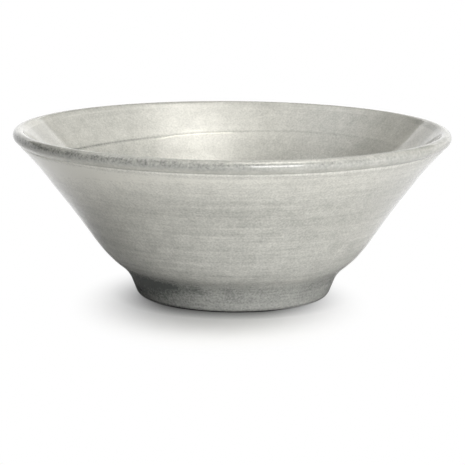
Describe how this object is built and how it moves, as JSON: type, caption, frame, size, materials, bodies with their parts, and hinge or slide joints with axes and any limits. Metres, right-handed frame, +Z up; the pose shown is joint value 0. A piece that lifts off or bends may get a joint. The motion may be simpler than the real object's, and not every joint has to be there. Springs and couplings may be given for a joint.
{
  "type": "bowl",
  "caption": "Wide thrown stoneware bowl with a trumpet-flared wall, a rolled rim and a small leaning foot ring, coated in mottled grey glaze.",
  "frame": {"origin": "on the table, at the middle of the foot ring's contact face", "axes": "+Z up along the bowl's axis, towards the rim; +X and +Y are any two directions across it, because the bowl is round"},
  "size_m": [0.2, 0.2, 0.0767],
  "materials": {
    "stoneware": "bare fired clay, matt and slightly sandy",
    "inside_glaze": "glossy grey glaze with a warm green cast and fine mottling",
    "rim_glaze": "glossy grey glaze, coarser and darker speckle",
    "outside_glaze": "glossy brushed grey glaze with faint level streaks",
    "underside_glaze": "glossy grey glaze, pooled in the corner"
  },
  "bodies": {
    "root": {"thrown_body": "stoneware", "rolled_rim": "stoneware", "foot_ring": "stoneware", "inside_glaze": "inside_glaze", "rim_glaze": "rim_glaze", "outside_glaze": "outside_glaze", "underside_glaze": "underside_glaze"}
  },
  "joints": []
}
